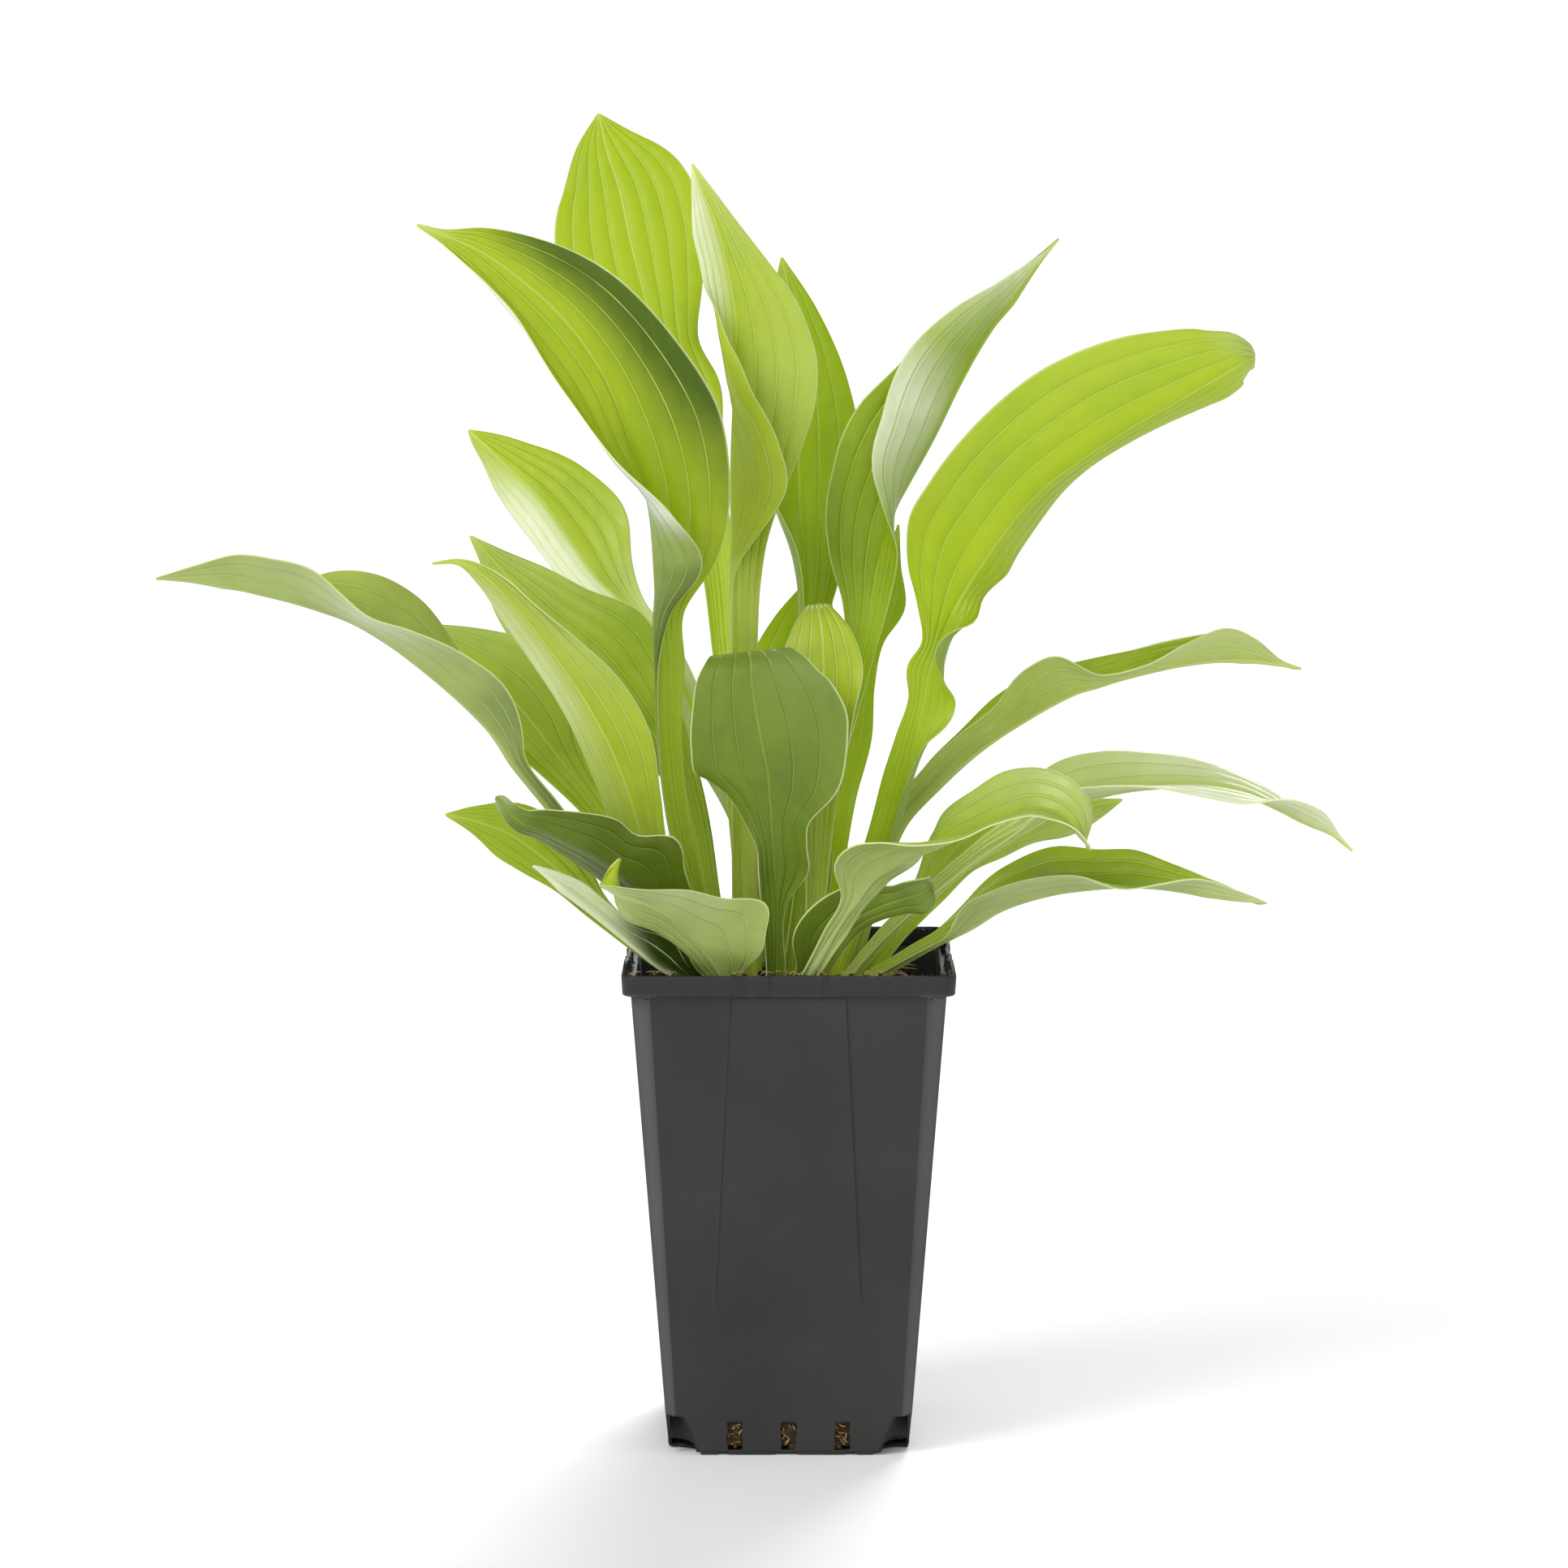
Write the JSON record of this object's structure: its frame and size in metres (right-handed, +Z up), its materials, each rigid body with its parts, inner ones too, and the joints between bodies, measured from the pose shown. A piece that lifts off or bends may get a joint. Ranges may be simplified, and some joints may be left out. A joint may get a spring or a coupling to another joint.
{
  "type": "potted hosta plant",
  "caption": "Leafy hosta clump growing from one crown in a square plastic nursery pot filled with compost.",
  "frame": {"origin": "centre of the pot's underside, on the floor", "axes": "+Z up, -Y towards the front of the pot, +X to the right seen from the front"},
  "size_m": [0.3721, 0.1907, 0.4233],
  "materials": {
    "pot_plastic": "thin moulded dark grey polypropylene, fine matt grain",
    "compost": "moist fibrous peat and bark",
    "crown": "pale fleshy stem",
    "leaf": "satin green blade with sunken parallel veins, paler underneath"
  },
  "bodies": {
    "root": {"pot": "pot_plastic", "compost": "compost", "crown": "crown", "leaf_back_centre": "leaf", "leaf_back_right": "leaf", "leaf_big_right": "leaf", "leaf_broad_left": "leaf", "leaf_cup_front": "leaf", "leaf_curled_front_right": "leaf", "leaf_folded_right": "leaf", "leaf_long_left": "leaf", "leaf_long_right": "leaf", "leaf_low_back": "leaf", "leaf_low_back_right": "leaf", "leaf_low_bright_left": "leaf", "leaf_low_dark_left": "leaf", "leaf_low_front_left": "leaf", "leaf_low_front_right": "leaf", "leaf_low_pale_left": "leaf", "leaf_lowest_right": "leaf", "leaf_mid_back": "leaf", "leaf_mid_left": "leaf", "leaf_narrow_front_left": "leaf", "leaf_pale_left": "leaf", "leaf_small_bright": "leaf", "leaf_tall_back": "leaf", "leaf_tall_centre": "leaf", "leaf_upper_left": "leaf", "leaf_upper_right": "leaf"}
  },
  "joints": []
}
